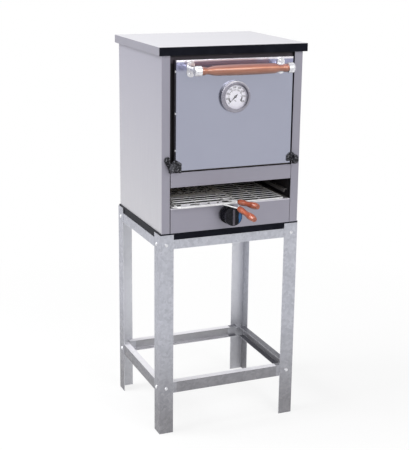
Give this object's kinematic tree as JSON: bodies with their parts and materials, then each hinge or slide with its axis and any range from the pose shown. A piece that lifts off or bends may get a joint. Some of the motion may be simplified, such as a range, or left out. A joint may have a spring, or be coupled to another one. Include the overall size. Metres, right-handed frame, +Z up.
{
  "type": "free-standing gas pizza oven",
  "caption": "Free-standing sheet steel gas oven with a drop-down door, a wire grill shelf and folding toaster in an open slot, a gas knob, and a bolted galvanised angle stand.",
  "frame": {"origin": "middle of the whole object's footprint, on the floor", "axes": "+Z up, -Y out of the door side, +X to the right seen from the front"},
  "size_m": [0.56, 0.705, 1.43],
  "materials": {
    "galvanised": "hot-dip zinc, soft spangle",
    "zinc_fasteners": "bright zinc plate",
    "black_enamel": "gloss black enamel",
    "cabinet_sheet": "satin stainless sheet",
    "door_sheet": "satin stainless sheet",
    "inner_sheet": "plain steel, heat stained",
    "insulation": "pressed mineral wool",
    "firebrick": "matt refractory clay",
    "bright_wire": "bright plated wire",
    "burner_steel": "plain steel tube",
    "brass": "machined",
    "copper_pipe": "drawn copper pipe",
    "hinge_black": "black phosphated",
    "bracket_metal": "cast, polished",
    "handle_wood": "gloss varnish",
    "knob_black": "gloss",
    "gauge_case": "satin plated",
    "gauge_glass": "clear",
    "gauge_dial": "matt white",
    "gauge_needle": "matt black"
  },
  "bodies": {
    "oven": {"leg_front_left": "galvanised", "leg_front_right": "galvanised", "leg_rear_left": "galvanised", "leg_rear_right": "galvanised", "top_rail_front": "galvanised", "top_rail_rear": "galvanised", "top_rail_left": "galvanised", "top_rail_right": "galvanised", "lower_rail_front": "galvanised", "lower_rail_rear": "galvanised", "lower_rail_left": "galvanised", "lower_rail_right": "galvanised", "stand_bolts": "zinc_fasteners", "stand_nuts": "zinc_fasteners", "panel_screws": "zinc_fasteners", "base_frame": "black_enamel", "base_pan": "black_enamel", "cover_front_trim": "black_enamel", "side_panel_left": "cabinet_sheet", "side_panel_right": "cabinet_sheet", "back_panel": "cabinet_sheet", "top_cover": "cabinet_sheet", "fascia_strip": "cabinet_sheet", "lower_panel": "cabinet_sheet", "door_header": "inner_sheet", "inner_walls": "inner_sheet", "wall_runners": "inner_sheet", "chamber_liner": "inner_sheet", "slot_floor": "inner_sheet", "chamber_insulation": "insulation", "hearth_tiles": "firebrick", "oven_racks": "bright_wire", "burner": "burner_steel", "gas_valve": "brass", "hose_nozzle": "brass", "burner_feed_pipe": "copper_pipe", "supply_pipe": "copper_pipe", "hinge_leaves": "hinge_black", "hinge_pins": "hinge_black"},
    "door": {"door_skin": "door_sheet", "door_inner_pan": "inner_sheet", "door_insulation": "insulation", "door_rivets": "zinc_fasteners", "door_hinge_arms": "hinge_black", "handle_brackets": "bracket_metal", "bracket_screws": "zinc_fasteners", "handle_grip": "handle_wood", "handle_rod": "bracket_metal", "thermometer_case": "gauge_case", "thermometer_glass": "gauge_glass", "thermometer_dial": "gauge_dial"},
    "needle": {"thermometer_needle": "gauge_needle"},
    "valve_push": {"valve_plunger": "brass"},
    "knob": {"valve_stem": "brass", "control_knob": "knob_black"},
    "shelf": {"grill_shelf": "bright_wire"},
    "toaster": {"toaster_lower_grid": "bright_wire", "toaster_lower_grip": "handle_wood"},
    "toaster_top": {"toaster_upper_grid": "bright_wire", "toaster_upper_grip": "handle_wood"}
  },
  "joints": [
    {"name": "door_hinge", "type": "hinge", "parent": "oven", "child": "door", "pos_m": [0, -0.1619, 1.017], "axis": [1, 0, 0], "range_deg": [0, 90]},
    {"name": "needle_turn", "type": "hinge", "parent": "door", "child": "needle", "pos_m": [-0.0037, -0.1609, 1.254], "axis": [0, 1, 0], "range_deg": [0, 256]},
    {"name": "knob_push", "type": "slide", "parent": "oven", "child": "valve_push", "axis": [0, 1, 0], "range_m": [0, 0.004], "stiffness_N_per_m": 800, "springref_m": -0.003},
    {"name": "knob_turn", "type": "hinge", "parent": "valve_push", "child": "knob", "pos_m": [-0.014, -0.1369, 0.829], "axis": [0, -1, 0], "range_deg": [0, 210]},
    {"name": "shelf_slide", "type": "slide", "parent": "oven", "child": "shelf", "axis": [0, -1, 0], "range_m": [0, 0.26]},
    {"name": "toaster_slide", "type": "slide", "parent": "shelf", "child": "toaster", "axis": [0, -1, 0], "range_m": [0, 0.12]},
    {"name": "toaster_fold", "type": "hinge", "parent": "toaster", "child": "toaster_top", "pos_m": [0, 0.1986, 0.8811], "axis": [-1, 0, 0], "range_deg": [0, 6]}
  ]
}
